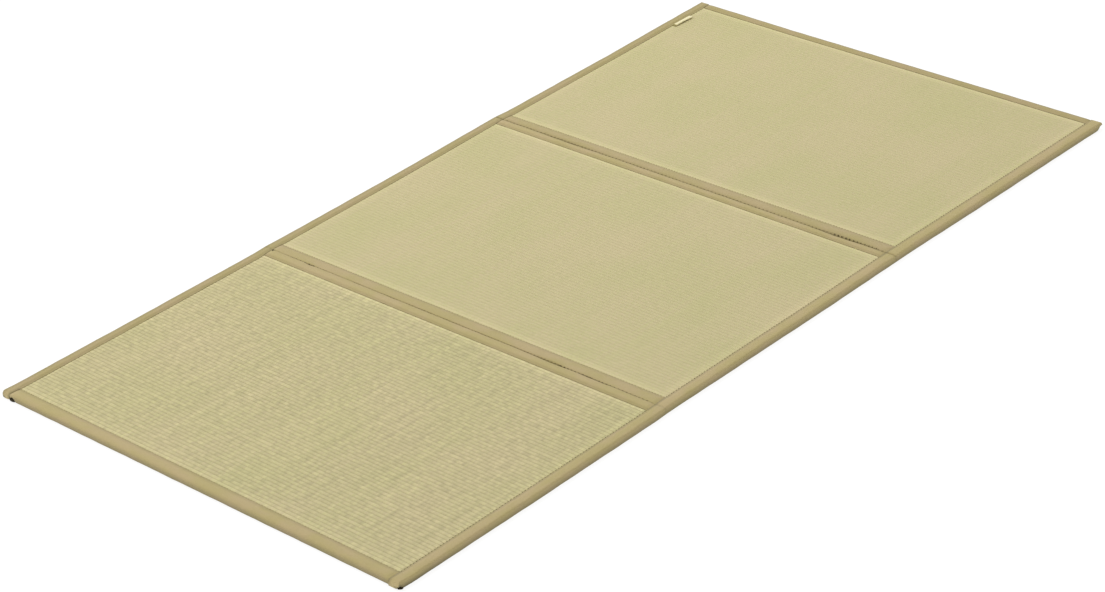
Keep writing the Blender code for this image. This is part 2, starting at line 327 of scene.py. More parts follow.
# Joining stitches: height, length, thickness in threads, slant in degrees, and the spacing at the
# second fold as a share of the first one's
JOINING_HEIGHT = 0.0130
JOINING_LENGTH = 0.0062
JOINING_THREADS = 1.25
JOINING_SLANT = 72
FOLD_2_SPACING = 1.12

# Seam stitches: height, how far out on the rush they lie, thickness of the right ones in threads
SEAM_HEIGHT = 0.01200
SEAM_OFFSET = 0.0004
RIGHT_SEAM_THREADS = 1.4

# Dark shapes painted as the shade in hollow corners that the tape leaves open: piece, middle, half
# sizes
HOLLOWS = (
    ("corner_hollow_front_left", (-0.4748, -0.9192, 0.0010), (0.0098, 0.0062, 0.0072)),
    ("corner_hollow_front_right", (0.4965, -0.9200, 0.0010), (0.0046, 0.0048, 0.0044)),
    ("fold_hollow_left", (-0.4752, FOLD_1 - 0.0022, 0.0132), (0.0030, 0.0024, 0.0011)),
)

# Blank label: distance out from the seam, height, round the loop from its root to its root
LABEL_LOOP = (
    (0.0004, 0.0124),
    (0.0016, 0.0138),
    (0.0034, 0.0150),
    (0.0058, 0.0156),
    (0.0081, 0.0157),
    (0.0096, 0.0154),
    (0.0105, 0.0148),
    (0.0108, 0.0140),
    (0.0104, 0.0132),
    (0.0092, 0.0128),
    (0.0055, 0.0127),
    (0.0023, 0.0125),
    (0.0006, 0.0119),
)
LABEL_SKEW = 0.0032
LABEL_FRONT = 0.8090
LABEL_BACK = 0.8570
LABEL_CLOTH = 0.0004

# Corners where the turned-in tape makes the mat thicker: side, end, reach, share added
SWELLS = (
    (-1, 1, 0.300, 0.16),
)

# Lights: name, place, size, power
LIGHTS = (
    ("key_light", (-2.6, 1.2, 4.2), 2.2, 89.0),
    ("fill_light", (-2.2, -4.5, 1.6), 2.0, 48.0),
)
AIR_BRIGHTNESS = 0.75
FLOOR_GLOW = 0.84
WHITE = (1.0, 1.0, 1.0, 1.0)

# The camera that took the mat's picture
CAMERA_PLACE = (3.81353, -3.64717, 2.90466)
CAMERA_RIGHT = (0.720983, 0.686005, -0.097881)
CAMERA_UP = (-0.279003, 0.416676, 0.865181)
CAMERA_FOCUS_PX = 3327.17
PICTURE_WIDTH_PX = 1105
SENSOR_MM = 36.0
HALF_PIXEL_SHIFT = 0.5 / PICTURE_WIDTH_PX


def length(name, description, default, low, high):
    return FloatProperty(
        name=name, description=description, default=default, min=low, max=high, unit="LENGTH"
    )


def paint(name, description, default):
    return FloatVectorProperty(
        name=name, description=description, default=default, min=0, max=1, size=3, subtype="COLOR"
    )


class RushMatSizes(bpy.types.PropertyGroup):
    """Sizes of the weave, the tape and the sewing."""

    rib_pitch: length(
        "Rib pitch", "Distance from one rib of the rush to the next", 0.00803, 0.004, 0.02
    )
    rib_depth: length("Rib depth", "How deep the rush sinks between two ribs", 0.0010, 0.0, 0.003)
    stalk_width: length("Stalk width", "Width of one rush stalk", 0.0017, 0.0005, 0.004)
    stalk_relief: length(
        "Stalk relief", "How far a stalk stands above the join with the next", 0.00028, 0.0, 0.001
    )
    tape_cloth: length("Tape thickness", "Thickness of the binding cloth", 0.0007, 0.0002, 0.001)
    tape_thread: length(
        "Tape thread", "Width of one thread in the binding cloth", 0.0007, 0.0002, 0.002
    )
    thread_diameter: length("Sewing thread", "Diameter of the sewing thread", 0.0006, 0.0002, 0.002)
    seam_stitch: length(
        "Seam stitch", "Distance from one stitch to the next along a seam", 0.0065, 0.003, 0.02
    )
    joining_stitch: length(
        "Joining stitch", "Distance from one stitch to the next across a fold", 0.0080, 0.003, 0.02
    )


class RushMatColours(bpy.types.PropertyGroup):
    """Colours of the cloth, the rush and the stage."""

    rush: paint("Rush", "Dried rush", (0.580, 0.496, 0.280))
    rush_green: paint("Green rush", "Rush stalks that kept some green", (0.530, 0.490, 0.240))
    # Painted shade of the rush in the valleys between ribs and at the joins between stalks
    rush_shade: paint("Rush shade", "Rush between two ribs", (0.345, 0.292, 0.143))
    tape: paint("Tape", "Binding cloth", (0.471, 0.381, 0.176))
    # Dark thread, whose darkness partly stands as painted shade in the needle holes along the folds
    thread: paint("Thread", "Thread of the folds and the right seams", (0.170, 0.130, 0.055))
    pale_thread: paint("Pale thread", "Thread of the other seams", (0.340, 0.270, 0.125))
    label: paint("Label", "Upper side of the label", (0.870, 0.790, 0.480))
    # Darker band of the label: partly a woven border, partly painted shade
    label_border_and_shade: paint("Label border", "Edge of the label", (0.600, 0.530, 0.240))
    # Painted shade standing for the inside of a hollow corner
    hollow: paint("Hollow", "Inside of a hollow corner", (0.022, 0.016, 0.006))
    floor: paint("Floor", "Pale studio floor", (0.200, 0.200, 0.200))


class Field:
    """A shader value that takes part in arithmetic."""

    def __init__(self, finish, socket):
        self.finish = finish
        self.socket = socket

    def combine(self, operation, *values):
        numbered = dict(enumerate(values))
        return self.finish.node("ShaderNodeMath", {"operation": operation}, numbered)

    def __add__(self, other):
        return self.combine("ADD", self, other)

    __radd__ = __add__

    def __sub__(self, other):
        return self.combine("SUBTRACT", self, other)

    def __rsub__(self, other):
        return self.combine("SUBTRACT", other, self)

    def __mul__(self, other):
        return self.combine("MULTIPLY", self, other)

    __rmul__ = __mul__

    def __truediv__(self, other):
        return self.combine("DIVIDE", self, other)

    def whole(self):
        return self.combine("FLOOR", self)

    def part(self):
        return self.combine("FRACT", self)

    def power(self, exponent):
        return self.combine("POWER", self, exponent)

    def odd(self):
        """0 on even whole numbers and 1 on odd ones."""
        return self.combine("FLOORED_MODULO", self, 2.0)

    def sine(self):
        return self.combine("SINE", self)

    def between(self, low, high, to_low=0.0, to_high=1.0):
        """Go smoothly from one value to another between two bounds."""
        return self.finish.node(
            "ShaderNodeMapRange",
            {"interpolation_type": "SMOOTHSTEP"},
            {"Value": self, "From Min": low, "From Max": high, "To Min": to_low, "To Max": to_high},
        )


class Finish:
    """A material and the nodes that feed its shader."""

    def __init__(self, name, colour, roughness, sheen=0.0):
        self.material = bpy.data.materials.new(name)
        self.material.use_nodes = True
        self.tree = self.material.node_tree
        self.shader = self.tree.nodes["Principled BSDF"]
        self.shader.inputs["Base Color"].default_value = (*colour, 1.0)
        self.shader.inputs["Roughness"].default_value = roughness
        self.shader.inputs["Specular IOR Level"].default_value = 0.25
        self.shader.inputs["Sheen Weight"].default_value = sheen

    def node(self, kind, settings=None, values=None, output=0):
        """Make a node, set it, fill its inputs with numbers or links and return one output."""
        made = self.tree.nodes.new(kind)
        for setting, value in (settings or {}).items():
            setattr(made, setting, value)
        for key, value in (values or {}).items():
            self.fill(made.inputs[key], value)
        return Field(self, made.outputs[output])

    def fill(self, socket, value):
        if isinstance(value, Field):
            self.tree.links.new(value.socket, socket)
        else:
            socket.default_value = value

    def cloth_place(self):
        """The two distances of the piece's own weave map, in metres."""
        vector = self.node("ShaderNodeUVMap", {"uv_map": "weave"})
        first = self.node("ShaderNodeSeparateXYZ", None, {"Vector": vector}, 0)
        second = Field(self, first.socket.node.outputs[1])
        return first, second

    def surface_value(self, name):
        """A value that the piece's points carry."""
        return self.node("ShaderNodeAttribute", {"attribute_name": name}, None, 2)

    def point(self, x, y, z=0.0):
        return self.node("ShaderNodeCombineXYZ", None, {"X": x, "Y": y, "Z": z})

    def noise(self, place, scale, detail=2.0):
        values = {"Vector": place, "Scale": scale, "Detail": detail, "Roughness": 0.55}
        return self.node("ShaderNodeTexNoise", {"noise_dimensions": "3D"}, values)

    def chance(self, place):
        """A random number for each whole place."""
        return self.node("ShaderNodeTexWhiteNoise", {"noise_dimensions": "3D"}, {"Vector": place})

    def mix(self, share, first, second):
        """A colour between two others."""
        values = {0: share, 6: first, 7: second}
        return self.node("ShaderNodeMix", {"data_type": "RGBA"}, values, 2)

    def shade(self, colour, amount):
        """A colour made lighter or darker by a factor."""
        values = {0: colour, "Scale": amount}
        return self.node("ShaderNodeVectorMath", {"operation": "SCALE"}, values)

    def colour_from(self, colour):
        self.fill(self.shader.inputs["Base Color"], colour)

    def roughness_from(self, value):
        self.fill(self.shader.inputs["Roughness"], value)

    def relief_from(self, height, strength=1.0):
        """Raise the surface by a height in metres, without moving its points."""
        values = {"Strength": strength, "Distance": 1.0, "Height": height}
        self.fill(self.shader.inputs["Normal"], self.node("ShaderNodeBump", None, values))


def sizes():
    return bpy.context.scene.rush_mat_sizes


def colours():
    return bpy.context.scene.rush_mat_colours


def rgba(colour, factor=1.0):
    return (*(min(1.0, channel * factor) for channel in colour), 1.0)


def laid(points):
    """Move points of the straight mat to where they lie on the uneven one."""
    x, y, z = np.array(points, float).T
    for side, end, reach, roundness in CORNERS:
        across = side * x - (HALF_WIDTH - reach)
        along = end * y - (HALF_LENGTH - reach)
        near = (across > 0) & (along > 0)
        distance = np.where(near, np.hypot(across, along), 1.0)
        squareness = np.maximum(across, along) / distance
        change = np.where(near, -roundness * (1 - squareness), 0.0)
        x = x + side * across * change
        y = y + end * along * change
    along, left_edge, right_edge = zip(*SIDE_LINES)
    left = np.interp(y, along, left_edge)
    right = np.interp(y, along, right_edge)
    share = (x + HALF_WIDTH) / (2 * HALF_WIDTH)
    along, left_drift, right_drift = zip(*SEAM_DRIFTS)
    drift = (1 - share) * np.interp(y, along, left_drift) + share * np.interp(y, along, right_drift)
    for side, end, reach, swell in SWELLS:
        distance = np.hypot(x - side * HALF_WIDTH, y - end * HALF_LENGTH)
        z = z * (1 + swell * smooth_step(1 - distance / reach))
    return np.column_stack((left + share * (right - left), y + drift, z))


def ripple(place, seed, lengths):
    """A gentle unevenness from -1 to 1, made of a few waves of the given lengths."""
    phases = np.random.default_rng(seed).uniform(0, 2 * math.pi, len(lengths))
    waves = [np.sin(2 * math.pi * place / length + phase) for length, phase in zip(lengths, phases)]
    return sum(waves) / len(waves)


def smooth_step(value):
    value = np.clip(value, 0.0, 1.0)
    return value * value * (3 - 2 * value)


def bump(distance, middle, reach):
    """1 at a distance, falling smoothly to 0 a reach away on both sides."""
    return smooth_step(1 - np.abs(distance - middle) / reach)


def lifted(x, y):
    """How high the tape's lower edge is lifted at places on the straight mat."""
    height = np.zeros_like(x)
    for middle_x, middle_y, reach_x, reach_y, lift in LIFTS:
        distance = np.hypot((x - middle_x) / reach_x, (y - middle_y) / reach_y)
        height = np.maximum(height, lift * smooth_step(1.25 * (1 - distance)))
    return height


def tape_shading(from_seam, inwards, height, shades):
    """The share of light that tape keeps in its seam, on its slope, at its edge and at its foot."""
    slope_shade, edge_shade, edge_reach = shades
    upper = smooth_step((height - 0.006) / 0.003)
    seam = 1 - SEAM_SHADE * upper * bump(from_seam, 0.0, SEAM_SHADE_REACH)
    slope = 1 - slope_shade * upper * bump(from_seam, SLOPE_SHADE_PLACE, SLOPE_SHADE_REACH)
    edge = 1 - edge_shade * smooth_step(1 - inwards / edge_reach)
    outer = smooth_step(2 - inwards / FOOT_SHADE_INSET)
    low = 1 - smooth_step((height - FOOT_SHADE_BOTTOM) / FOOT_SHADE_RISE)
    foot = 1 - FOOT_SHADE * outer * low
    return seam * slope * edge * foot


def point_array(mesh):
    return np.array([vert.co[:] for vert in mesh.verts])


def move_points(mesh, points):
    for vert, point in zip(mesh.verts, points):
        vert.co = point


def blank_grid(columns, rows):
    """A flat grid, with the column number and the row number of each of its points."""
    mesh = bmesh.new()
    bmesh.ops.create_grid(mesh, x_segments=columns - 1, y_segments=rows - 1, size=1.0)
    flat = point_array(mesh)
    column = np.rint((flat[:, 0] + 1) / 2 * (columns - 1)).astype(int)
    row = np.rint((flat[:, 1] + 1) / 2 * (rows - 1)).astype(int)
    return mesh, column, row


def write_weave_map(mesh, places):
    """Give the mesh a weave map from one pair of distances for each of its points."""
    layer = mesh.loops.layers.uv.new("weave")
    mesh.verts.index_update()
    for face in mesh.faces:
        for loop in face.loops:
            loop[layer].uv = places[loop.vert.index]


def finish_mesh(mesh, name, material, values=None):
    """Make the piece's object, which rides on the mat and takes its finish from a slot."""
    data = bpy.data.meshes.new(name)
    for face in mesh.faces:
        face.smooth = True
    mesh.to_mesh(data)
    mesh.free()
    for key, numbers in (values or {}).items():
        data.attributes.new(key, "FLOAT", "POINT").data.foreach_set("value", numbers)
    data.materials.append(material)
    piece = bpy.data.objects.new(name, data)
    bpy.context.scene.collection.objects.link(piece)
    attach(piece, "root")
    return piece


def thicken(piece, thickness):
    solid = piece.modifiers.new("cloth", "SOLIDIFY")
    solid.thickness = thickness
    solid.offset = -1.0


def rush_finish(name, contrast, seed):
    """Rush stalks woven over and under the warp, which lies hidden between the ribs."""
    size = sizes()
    colour = colours()
    finish = Finish(name, colour.rush, 0.62, sheen=0.05)
    across, along = finish.cloth_place()
    rib = along / size.rib_pitch
    rib_number = rib.whole()
    rib_place = rib.part()
    odd_rib = rib_number.odd()
    bend = finish.noise(finish.point(across * 9.0, along * 5.0, seed), 1.0)
    stalk = across / size.stalk_width + odd_rib * 0.5 + bend * 3.0
    stalk_number = stalk.whole()
    stalk_place = stalk.part()

    stalk_chance = finish.chance(finish.point(stalk_number, odd_rib, seed))
    float_chance = finish.chance(finish.point(stalk_number, rib_number, seed + 0.5))
    wide = finish.noise(finish.point(across * 105.0, along * 2.5, seed), 1.0)
    middling = finish.noise(finish.point(across * 260.0, along * 9.0, seed + 3.0), 1.0)
    dashes = finish.noise(finish.point(across * 85.0, rib_number * 0.9, seed + 7.0), 1.0)
    gaps = finish.noise(finish.point(across * 70.0, (rib + 0.5).whole() * 0.9, seed + 8.0), 1.0)
    patches = finish.noise(finish.point(across * 7.0, along * 5.0, seed + 9.0), 1.0)

    unevenness = (
        -0.330
        + stalk_chance * 0.06
        + float_chance * 0.04
        + wide * 0.17
        + middling * 0.05
        + dashes * 0.34
    )
    brightness = unevenness * contrast + 1.0
    green_share = (patches * 1.5 + stalk_chance * 0.6 - 0.55).between(0.0, 1.0)
    rush = finish.mix(green_share, rgba(colour.rush), rgba(colour.rush_green))
    # Painted shade in the valleys between ribs, broken up along them, and at the joins between stalks
    to_valley = rib_place * (1.0 - rib_place) * 4.0
    shade_share = to_valley.between(0.0, 0.45) * -1.0 + 1.0
    shade_share = shade_share * gaps.between(0.25, 0.70, 0.35 * contrast, min(1.0, contrast))
    stalk_side = stalk_place * (1.0 - stalk_place) * 4.0
    join_share = stalk_side.between(0.0, 0.5, 0.20 * contrast, 0.0)
    shaded = finish.mix(shade_share, rush, rgba(colour.rush_shade))
    shaded = finish.mix(join_share, shaded, rgba(colour.rush_shade))
    # The colour is scaled by the painted highlight and shade that the points carry
    finish.colour_from(finish.shade(shaded, brightness * finish.surface_value("shading")))
    finish.roughness_from(0.56 + middling * 0.16)
    grain = finish.noise(finish.point(across * 2600.0, along * 90.0, seed), 1.0)
    lift = to_valley.power(0.6)
    height = stalk_side.power(0.5) * size.stalk_relief * (0.4 + lift * 0.6)
    finish.relief_from(height + grain * 0.00004 + float_chance * 0.00005)
    return finish.material


def tape_finish(name, shade, seed):
    """Plain woven cotton tape, a little uneven in its threads and its dye."""
    size = sizes()
    colour = colours()
    finish = Finish(name, colour.tape, 0.82, sheen=0.15)
    around, along = finish.cloth_place()
    turn = 2 * math.pi / size.tape_thread
    warp = (around * turn).sine()
    weft = (along * turn).sine()
    cell = finish.point((around / size.tape_thread).whole(), (along / size.tape_thread).whole(), seed)
    crossing = finish.chance(cell)
    slub = finish.noise(finish.point(around * 1400.0, along * 60.0, seed), 1.0)
    weft_slub = finish.noise(finish.point(around * 50.0, along * 1300.0, seed + 4.0), 1.0)
    dye = finish.noise(finish.point(around * 30.0, along * 14.0, seed + 8.0), 1.0)
    brightness = 0.87 + slub * 0.07 + weft_slub * 0.06 + dye * 0.10 + crossing * 0.03
    warm_share = dye.between(0.35, 0.65)
    # The piece's painted shade makes this copy of the tape lighter or darker as a whole, and the
    # shading that its points carry is painted shade of its seam, slope, edge and foot
    cloth = finish.mix(
        warm_share,
        rgba((colour.tape[0] * 0.985, colour.tape[1] * 1.01, colour.tape[2] * 0.94), shade),
        rgba((colour.tape[0] * 1.015, colour.tape[1] * 0.995, colour.tape[2] * 1.08), shade),
    )
    finish.colour_from(finish.shade(cloth, brightness * finish.surface_value("shading")))
    finish.roughness_from(0.78 + crossing * 0.12)
    finish.relief_from(warp * weft * 0.00006 + slub * 0.00010 + weft_slub * 0.00008)
    return finish.material


def thread_finish(name, colour):
    finish = Finish(name, colour, 0.7, sheen=0.1)
    place = finish.node("ShaderNodeTexCoord", None, None, 3)
    fuzz = finish.noise(place, 900.0)
    finish.colour_from(finish.shade(tuple(colour), 0.75 + fuzz * 0.5))
    finish.relief_from(fuzz * 0.00012)
    return finish.material


def label_finish():
    """Blank cream ribbon with a darker band along its free edge, its near end and its root: partly a
    woven border, partly painted shade of the loop's sides and of its fold into the seam.
    """
    colour = colours()
    finish = Finish("label_ribbon", colour.label, 0.6, sheen=0.2)
    around, along = finish.cloth_place()
    rows = (around * (2 * math.pi / 0.0005)).sine()
    picks = (along * (2 * math.pi / 0.0006)).sine()
    patchy = finish.noise(finish.point(around * 120.0, along * 60.0, 2.0), 1.0)
    # Darker band: partly a woven border, partly painted shade of the loop's free edge and near end, and
    # painted shade at its root
    free_edge = around.between(0.0112, 0.0127)
    near_end = along.between(0.0012, 0.0030, 1.0, 0.0)
    root = around.between(0.0016, 0.0032, 1.0, 0.0)
    border_and_shade = (free_edge + near_end + root).between(0.0, 0.9)
    ribbon = finish.mix(border_and_shade, rgba(colour.label), rgba(colour.label_border_and_shade))
    finish.colour_from(finish.shade(ribbon, 0.94 + patchy * 0.10))
    finish.relief_from(rows * picks * 0.00004)
    return finish.material


def hollow_shade_finish():
    # Painted shade: a near-black colour, a little uneven
    finish = Finish("unlit_hollow", colours().hollow, 0.95)
    place = finish.node("ShaderNodeTexCoord", None, None, 3)
    fibres = finish.noise(place, 700.0)
    finish.colour_from(finish.shade(tuple(colours().hollow), 0.6 + fibres * 0.8))
    finish.relief_from(fibres * 0.0003)
    return finish.material


def side_distances(face):
    """Distances in from the mat's outer line at which a panel needs points beside one tape."""
    return [face + row[0] for row in PANEL_TOP if face + row[0] > 0.0018]


def spread_between(low_side, high_side, step):
    """Low places, evenly spaced places and high places, in order."""
    count = max(2, round((high_side[0] - low_side[-1]) / step))
    inner = list(np.linspace(low_side[-1], high_side[0], count + 1)[1:-1])
    return np.array(low_side + inner + high_side)


def rib_rows(front_seam, back_seam, pitch):
    """Places of the points that shape the ribs between two seams."""
    count = round((back_seam - front_seam) / pitch)
    real_pitch = (back_seam - front_seam) / count
    return [front_seam + (rib + phase) * real_pitch for rib in range(count) for phase in RIB_PHASES]


def build_panel(
    name, node, front, back, front_face, back_face, front_highlight, back_highlight, contrast, seed
):
    """One rush panel, ribbed on both sides and pinched in where the tape is sewn down."""
    size = sizes()
    left_seam = LEFT_FACE - HALF_WIDTH
    right_seam = HALF_WIDTH - RIGHT_FACE
    front_seam = front + front_face
    back_seam = back - back_face
    lines_x = spread_between(
        [-HALF_WIDTH + distance for distance in side_distances(LEFT_FACE)],
        [HALF_WIDTH - distance for distance in side_distances(RIGHT_FACE)][::-1],
        PANEL_STEP,
    )
    ribs = rib_rows(front_seam, back_seam, size.rib_pitch)
    edges = [front + distance for distance in side_distances(front_face)]
    edges += [back - distance for distance in side_distances(back_face)]
    lines_y = [place for place in edges if not front_seam + 0.0008 < place < back_seam - 0.0008]
    lines_y = np.array(sorted(lines_y + [place for place in ribs if place > front_seam + 0.0008]))
    mesh, column, row = blank_grid(len(lines_x), len(lines_y))
    x = lines_x[column]
    y = lines_y[row]
    move_points(mesh, np.column_stack((x, y, np.zeros(len(x)))))
    bmesh.ops.extrude_face_region(mesh, geom=list(mesh.faces))
    points = point_array(mesh)
    under = np.arange(len(points)) >= len(x)
    x, y = points[:, 0], points[:, 1]
    from_seam = np.minimum.reduce((x - left_seam, right_seam - x, y - front_seam, back_seam - y))
    top = np.interp(from_seam, *zip(*PANEL_TOP))
    low = np.interp(from_seam, *zip(*PANEL_UNDER))
    count = round((back_seam - front_seam) / size.rib_pitch)
    real_pitch = (back_seam - front_seam) / count
    rib = (y - front_seam) / real_pitch
    phase = rib - np.floor(rib + 1e-6)
    number = np.floor(rib + 1e-6).astype(int)
    arch = np.clip(4 * phase * (1 - phase), 0, 1) ** RIB_ROUNDNESS
    random = np.random.default_rng(seed)
    rib_level = random.uniform(-1, 1, count + 8)[number % (count + 8)]
    cell = random.uniform(-1, 1, (count + 8, 400))
    across_cell = np.clip((x + HALF_WIDTH) / PANEL_STEP, 0, 398)
    lower_cell = np.floor(across_cell).astype(int)
    share = across_cell - lower_cell
    local = (1 - share) * cell[number % (count + 8), lower_cell]
    local = local + share * cell[number % (count + 8), lower_cell + 1]
    fade = smooth_step(from_seam / SEAM_PINCH)
    change = RIB_CHANGE * local + RIB_LEVEL_CHANGE * rib_level
    relief = fade * ((arch - 1) * size.rib_depth + arch * change)
    swell = fade * PANEL_SWELL * ripple(x + 0.6 * y, seed, (0.31, 0.17, 0.43))
    z = np.where(under, low - 0.6 * relief * (low < 0.001), top + relief + swell)
    z = np.maximum(z, np.where(under, 1.15, 1.0) * lifted(x, y))
    # Painted highlight beside the seams, and painted shade right in them, carried to the rush's colour
    seam_highlight = np.maximum.reduce((
        LEFT_SEAM_HIGHLIGHT * smooth_step(1 - (x - left_seam) / SEAM_HIGHLIGHT_REACH),
        RIGHT_SEAM_HIGHLIGHT * smooth_step(1 - (right_seam - x) / SEAM_HIGHLIGHT_REACH),
        front_highlight * smooth_step(1 - (y - front_seam) / SEAM_HIGHLIGHT_REACH),
        back_highlight * smooth_step(1 - (back_seam - y) / SEAM_HIGHLIGHT_REACH),
    ))
    shading = (1 + seam_highlight) * (1 - 0.30 * (1 - smooth_step(from_seam / 0.0009)))
    shift = fade * RIB_BEND * ripple(x, seed + 1, (0.42, 0.19, 0.11)) * smooth_step(from_seam / 0.03)
    shift = shift + fade * RIB_LEVEL_BEND * rib_level
    weave = np.column_stack((x, (y - front_seam) * size.rib_pitch / real_pitch))
    write_weave_map(mesh, weave)
    move_points(mesh, laid(np.column_stack((x, y + shift, z))))
    bmesh.ops.recalc_face_normals(mesh, faces=mesh.faces)
    material = rush_finish(name + "_weave", contrast, float(seed))
    piece = finish_mesh(mesh, name, material, {"shading": shading.astype(np.float32)})
    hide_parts(node)
    return piece


def tape_section(face, shoulder, drop, lying):
    """Section of a folded tape from its lower edge round to its seam: distance in, height."""
    section = [(face, 0.0), (0.6 * face, 0.0), (0.25 * face, 0.0)]
    for angle in FOOT_ANGLES:
        inwards = FOOT_RADIUS * (1 - math.cos(math.radians(angle)))
        section.append((inwards, FOOT_RADIUS * (1 - math.sin(math.radians(angle)))))
    for angle in SHOULDER_ANGLES:
        inwards = shoulder * (1 - math.cos(math.radians(angle)))
        section.append((inwards, CREST - drop * (1 - math.sin(math.radians(angle)))))
    return section + [(face - row[0], row[lying]) for row in TAPE_SLOPE]


def section_lengths(section):
    """Distance round the tape from its lower edge to each point of its section."""
    points = np.array(section)
    steps = np.hypot(*np.diff(points, axis=0).T)
    return np.concatenate(([0.0], np.cumsum(steps)))


def fold_depth(line, across):
    """How deep the groove of a fold is at a place across the mat, as a share of its full depth."""
    for fold, places, shares in FOLD_DEPTHS:
        if abs(fold - line) < 0.01:
            return np.interp(across, places, shares)
    return np.ones_like(across)


def opening(line, across):
    """How far the two sides of a fold stand apart at a place across the mat."""
    gap = np.zeros_like(across)
    for fold, middle, reach, width in OPEN_CREASES:
        if abs(fold - line) < 0.01:
            gap = np.maximum(gap, width * smooth_step(1 - np.abs(across - middle) / reach))
    return gap


def build_cross_tape(
    name, node, line, inwards_sign, face, shoulder, drop,
    slope_shade, edge_shade, edge_reach, cloth, seed
):
    """One length of tape across the mat, with its ends tucked under the side tapes."""
    left_end = LEFT_FACE - HALF_WIDTH
    right_end = HALF_WIDTH - RIGHT_FACE
    steps = (-TUCK, -0.0022, -0.0004, 0.0006, 0.0020, 0.0040, 0.0060)
    stations = spread_between(
        [left_end + step for step in steps], [right_end - step for step in steps][::-1], TAPE_STEP
    )
    section = np.array(tape_section(face, shoulder, drop, ON_RUSH))
    around = section_lengths(section)
    mesh, column, row = blank_grid(len(section), len(stations))
    across = stations[row]
    inwards, height = section[column].T
    to_end = np.minimum(across - left_end, right_end - across)
    tucked = smooth_step(-to_end / 0.0008)
    from_seam = face - inwards
    upper = height > 0.0040
    on_top = upper * smooth_step(inwards / shoulder)
    beside_seam = on_top * np.exp(-np.clip(from_seam, 0, None) / PUCKER_REACH)
    shading = tape_shading(from_seam, inwards, height, (slope_shade, edge_shade, edge_reach))
    shading = shading * (1 - CROSS_END_SHADE * bump(to_end, 0.0, CROSS_END_SHADE_REACH))
    groove = (inwards < shoulder) & upper
    height = np.where(groove, CREST - (CREST - height) * fold_depth(line, across), height)
    gap = opening(line, across)
    edge_wander = CROSS_EDGE_WANDER * ripple(across, seed, (0.21, 0.083, 0.047))
    seam_wander = SEAM_WANDER * ripple(across, seed + 1, (0.12, 0.052, 0.031))
    pucker = PUCKER * ripple(across, seed + 2, (0.0171, 0.0113, 0.0149)) * beside_seam
    crown = CROWN * ripple(across, seed + 3, (0.091, 0.043, 0.057)) * on_top
    crown = crown * smooth_step(from_seam / 0.003)
    outer_share = smooth_step(1 - inwards / (0.5 * face))
    height = height - gap * OPEN_CREASE_DROP * (inwards < shoulder) * (1 - on_top) * upper
    inwards = inwards + outer_share * (edge_wander + gap * upper)
    inwards = inwards + (1 - outer_share) * seam_wander
    height = height + crown + pucker
    dip = LAP_DIP_SHARE * smooth_step(1 - to_end / LAP_DIP_REACH)
    height = height - dip * np.clip(height - LAP_DIP_LEVEL, 0, None)
    inwards = inwards + tucked * TUCK_INSET * (inwards < 0.3 * face)
    height = height + tucked * np.where(height < 0.003, TUCK_INSET, -0.0003)
    height = np.maximum(height, lifted(across, line + inwards_sign * inwards))
    weave = np.column_stack((around[column], across))
    write_weave_map(mesh, weave)
    move_points(mesh, laid(np.column_stack((across, line + inwards_sign * inwards, height))))
    if inwards_sign > 0:
        bmesh.ops.reverse_faces(mesh, faces=mesh.faces)
    values = {"shading": shading.astype(np.float32)}
    # cloth is the piece's painted shade, a lighter or darker copy of the same tape
    piece = finish_mesh(mesh, name, tape_finish(name + "_cloth", cloth, float(seed)), values)
    thicken(piece, sizes().tape_cloth)
    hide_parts(node)
    return piece


def lapping(along):
    """1 where a side tape lies over another tape, 0 beside it, and a short slope between."""
    lap = np.zeros_like(along)
    for front, back in CROSSINGS:
        inside = np.minimum(along - front, back - along)
        lap = np.maximum(lap, smooth_step(0.5 + inside / LAP_RUN))
    return lap


def side_stations(front, back):
    """Places along a side tape where it needs points."""
    ends = list(SIDE_END_STEPS)
    stations = [front + step for step in ends] + [back - step for step in ends]
    for crossing in CROSSINGS:
        for line in crossing:
            stations += [line - 0.002, line - 0.001, line, line + 0.001, line + 0.002]
    stations += [FOLD_1 + step for step in (-0.004, -0.002, 0.0, 0.002, 0.004)]
    stations += list(np.arange(front + 0.012, back - 0.012, TAPE_STEP))
    kept = [front]
    for station in sorted(stations):
        if kept[-1] + 0.00028 < station < back - 0.00028:
            kept.append(station)
    return np.array(kept + [back])


def rounding(distance, reach, drop):
    """How far a rounded edge has dropped, a distance in from its outer line."""
    inwards = np.clip(1 - distance / reach, 0, 1)
    return drop * (1 - np.sqrt(1 - inwards**2))


